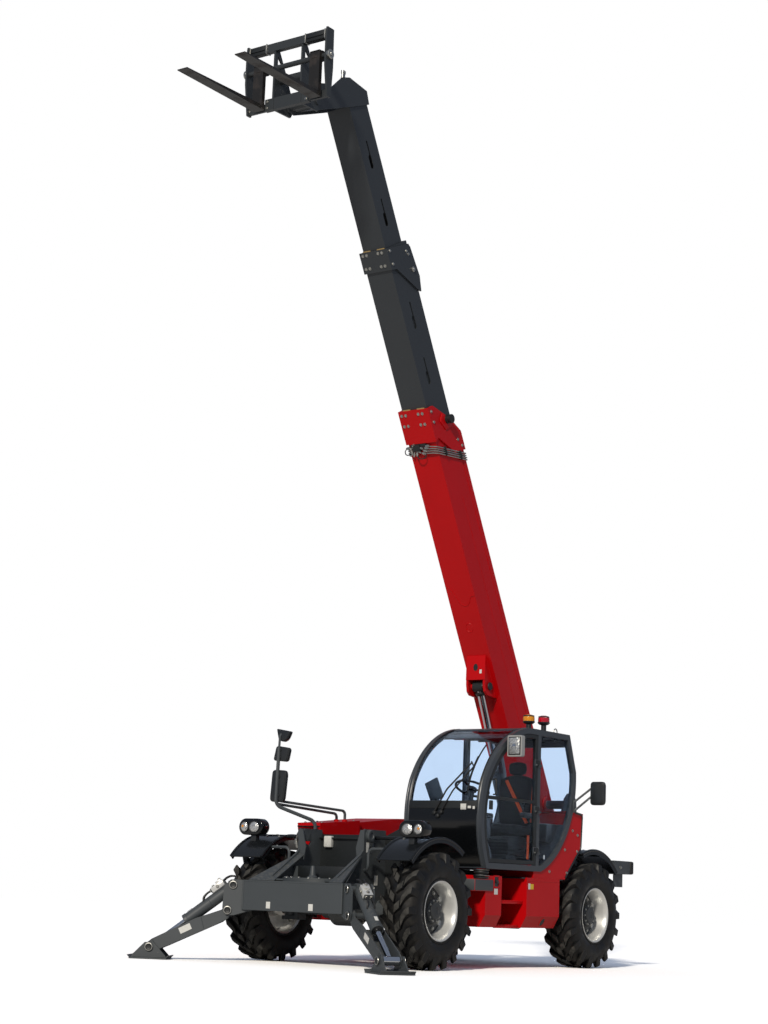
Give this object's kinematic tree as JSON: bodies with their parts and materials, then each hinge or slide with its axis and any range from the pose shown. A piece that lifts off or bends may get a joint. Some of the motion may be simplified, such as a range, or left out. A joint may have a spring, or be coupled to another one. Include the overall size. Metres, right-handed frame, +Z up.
{
  "type": "telehandler",
  "caption": "Telescopic handler with a raised telescopic boom, fork carriage, side cab, front stabiliser legs and steered wheels.",
  "frame": {"origin": "on the ground under the middle of the whole machine's box, boom and forks included", "axes": "+X forward, towards the forks; +Y to the driver's left, where the cab is; +Z up"},
  "size_m": [6.922, 3.4858, 9.5899],
  "materials": {
    "red_paint": "gloss enamel",
    "grey_paint": "satin enamel",
    "dark_grey_paint": "satin enamel",
    "black_paint": "gloss",
    "black_plastic": "grained",
    "silver_paint": "satin",
    "tyre": "worn rubber",
    "glass": "clear",
    "chrome": "hard chrome",
    "cast_iron": "rough",
    "forged_steel": "worn black",
    "lamp": "clear lens",
    "beacon": "amber lens",
    "seat_fabric": "woven"
  },
  "bodies": {
    "chassis": {"chassis_frame": "grey_paint", "axles": "grey_paint", "fenders": "black_plastic", "cab_frame": "black_paint", "cab_roof": "black_paint", "cab_windows": "glass", "cab_right_panels": "black_paint", "operator_seat": "seat_fabric", "steering_console": "black_plastic", "side_tank": "red_paint", "cab_back_panel": "red_paint", "engine_housing": "grey_paint", "engine_block": "cast_iron", "front_cowl": "red_paint", "head_lamps": "lamp", "rear_bumper": "grey_paint", "rear_hitch": "dark_grey_paint", "mirrors": "black_plastic", "roof_beacons": "beacon", "front_bulkhead": "dark_grey_paint", "tail_lamps": "lamp"},
    "hood": {"engine_hood": "red_paint"},
    "door": {"cab_door": "black_paint", "door_glass": "glass", "work_lamp": "lamp"},
    "outer_boom": {"boom_outer": "red_paint"},
    "middle_boom": {"boom_middle": "dark_grey_paint"},
    "inner_boom": {"boom_inner": "dark_grey_paint"},
    "carriage": {"fork_carriage": "dark_grey_paint", "forks": "forged_steel"},
    "lift_cylinder": {"lift_barrel": "dark_grey_paint"},
    "lift_piston": {"lift_rod": "chrome"},
    "front_left_knuckle_body": {"front_left_knuckle": "grey_paint"},
    "front_left_wheel": {"front_left_rim": "silver_paint", "front_left_tyre": "tyre"},
    "front_right_knuckle_body": {"front_right_knuckle": "grey_paint"},
    "front_right_wheel": {"front_right_rim": "silver_paint", "front_right_tyre": "tyre"},
    "rear_left_knuckle_body": {"rear_left_knuckle": "grey_paint"},
    "rear_left_wheel": {"rear_left_rim": "silver_paint", "rear_left_tyre": "tyre"},
    "rear_right_knuckle_body": {"rear_right_knuckle": "grey_paint"},
    "rear_right_wheel": {"rear_right_rim": "silver_paint", "rear_right_tyre": "tyre"},
    "left_leg": {"left_leg_arm": "grey_paint"},
    "left_leg_cylinder": {"left_leg_barrel": "dark_grey_paint"},
    "left_leg_piston": {"left_leg_rod": "chrome"},
    "left_foot": {"left_foot_pad": "grey_paint"},
    "right_leg": {"right_leg_arm": "grey_paint"},
    "right_leg_cylinder": {"right_leg_barrel": "dark_grey_paint"},
    "right_leg_piston": {"right_leg_rod": "chrome"},
    "right_foot": {"right_foot_pad": "grey_paint"}
  },
  "joints": [
    {"name": "front_left_steer", "type": "hinge", "parent": "chassis", "child": "front_left_knuckle_body", "pos_m": [0.64, 0.72, 0.583], "axis": [0, 0, 1], "range_deg": [-30, 30]},
    {"name": "front_left_spin", "type": "hinge", "parent": "front_left_knuckle_body", "child": "front_left_wheel", "pos_m": [0.64, 0.985, 0.583], "axis": [0, 1, 0], "continuous": true},
    {"name": "front_right_steer", "type": "hinge", "parent": "chassis", "child": "front_right_knuckle_body", "pos_m": [0.64, -0.72, 0.583], "axis": [0, 0, 1], "range_deg": [-30, 30]},
    {"name": "front_right_spin", "type": "hinge", "parent": "front_right_knuckle_body", "child": "front_right_wheel", "pos_m": [0.64, -0.985, 0.583], "axis": [0, 1, 0], "continuous": true},
    {"name": "rear_left_steer", "type": "hinge", "parent": "chassis", "child": "rear_left_knuckle_body", "pos_m": [-2.5, 0.72, 0.583], "axis": [0, 0, 1], "range_deg": [-30, 30]},
    {"name": "rear_left_spin", "type": "hinge", "parent": "rear_left_knuckle_body", "child": "rear_left_wheel", "pos_m": [-2.5, 0.985, 0.583], "axis": [0, 1, 0], "continuous": true},
    {"name": "rear_right_steer", "type": "hinge", "parent": "chassis", "child": "rear_right_knuckle_body", "pos_m": [-2.5, -0.72, 0.583], "axis": [0, 0, 1], "range_deg": [-30, 30]},
    {"name": "rear_right_spin", "type": "hinge", "parent": "rear_right_knuckle_body", "child": "rear_right_wheel", "pos_m": [-2.5, -0.985, 0.583], "axis": [0, 1, 0], "continuous": true},
    {"name": "boom_lift", "type": "hinge", "parent": "chassis", "child": "outer_boom", "pos_m": [-3.2, -0.1, 1.85], "axis": [0, -1, 0], "range_deg": [-62.86, 9.14]},
    {"name": "lift_swing", "type": "hinge", "parent": "chassis", "child": "lift_cylinder", "pos_m": [-2.92, -0.1, 1.02], "axis": [0, -1, 0], "range_deg": [-52.67, 8.09]},
    {"name": "lift_stroke", "type": "slide", "parent": "lift_cylinder", "child": "lift_piston", "axis": [0.4222, 0, 0.9065], "range_m": [-0.868, 0.1296]},
    {"name": "middle_extend", "type": "slide", "parent": "outer_boom", "child": "middle_boom", "axis": [0.4869, 0, 0.8734], "range_m": [-1.54, 2.4]},
    {"name": "inner_extend", "type": "slide", "parent": "middle_boom", "child": "inner_boom", "axis": [0.4869, 0, 0.8734], "range_m": [-1.45, 2.4]},
    {"name": "carriage_tilt", "type": "hinge", "parent": "inner_boom", "child": "carriage", "pos_m": [1.88, -0.1, 8.93506], "axis": [0, 1, 0], "range_deg": [-64, 45]},
    {"name": "left_leg_swing", "type": "hinge", "parent": "chassis", "child": "left_leg", "pos_m": [1.544, 0.825, 0.513], "axis": [0.848, -0.5299, 0], "range_deg": [-10, 96]},
    {"name": "left_leg_cylinder_swing", "type": "hinge", "parent": "chassis", "child": "left_leg_cylinder", "pos_m": [1.51909, 0.78514, 0.766], "axis": [0.848, -0.5299, 0], "range_deg": [-10.4, 95.54]},
    {"name": "left_leg_stroke", "type": "slide", "parent": "left_leg_cylinder", "child": "left_leg_piston", "axis": [0.418, 0.6689, -0.6148], "range_m": [-0.375, 0.0426]},
    {"name": "left_foot_tilt", "type": "hinge", "parent": "left_leg", "child": "left_foot", "pos_m": [1.95828, 1.48798, 0.12], "axis": [0.848, -0.5299, 0], "range_deg": [-20, 40]},
    {"name": "right_leg_swing", "type": "hinge", "parent": "chassis", "child": "right_leg", "pos_m": [1.544, -0.825, 0.513], "axis": [-0.848, -0.5299, 0], "range_deg": [-10, 96]},
    {"name": "right_leg_cylinder_swing", "type": "hinge", "parent": "chassis", "child": "right_leg_cylinder", "pos_m": [1.51909, -0.78514, 0.766], "axis": [-0.848, -0.5299, 0], "range_deg": [-10.4, 95.54]},
    {"name": "right_leg_stroke", "type": "slide", "parent": "right_leg_cylinder", "child": "right_leg_piston", "axis": [0.418, -0.6689, -0.6148], "range_m": [-0.375, 0.0426]},
    {"name": "right_foot_tilt", "type": "hinge", "parent": "right_leg", "child": "right_foot", "pos_m": [1.95828, -1.48798, 0.12], "axis": [-0.848, -0.5299, 0], "range_deg": [-20, 40]},
    {"name": "door_hinge", "type": "hinge", "parent": "chassis", "child": "door", "pos_m": [-1.217, 1.156, 1.7], "axis": [0, 0, 1], "range_deg": [0, 100]},
    {"name": "hood_hinge", "type": "hinge", "parent": "chassis", "child": "hood", "pos_m": [-1.425, -0.45, 1.54], "axis": [-1, 0, 0], "range_deg": [0, 70]}
  ],
  "couplings": [
    {"joint": "front_right_steer", "follows": "front_left_steer", "ratio": 1},
    {"joint": "rear_right_steer", "follows": "rear_left_steer", "ratio": 1},
    {"joint": "lift_swing", "follows": "boom_lift", "ratio": 0.83},
    {"joint": "lift_stroke", "follows": "boom_lift", "m_per_rad": 0.7875},
    {"joint": "left_leg_cylinder_swing", "follows": "left_leg_swing", "ratio": 0.99},
    {"joint": "left_leg_stroke", "follows": "left_leg_swing", "m_per_rad": -0.2214},
    {"joint": "right_leg_cylinder_swing", "follows": "right_leg_swing", "ratio": 0.99},
    {"joint": "right_leg_stroke", "follows": "right_leg_swing", "m_per_rad": -0.2214}
  ]
}
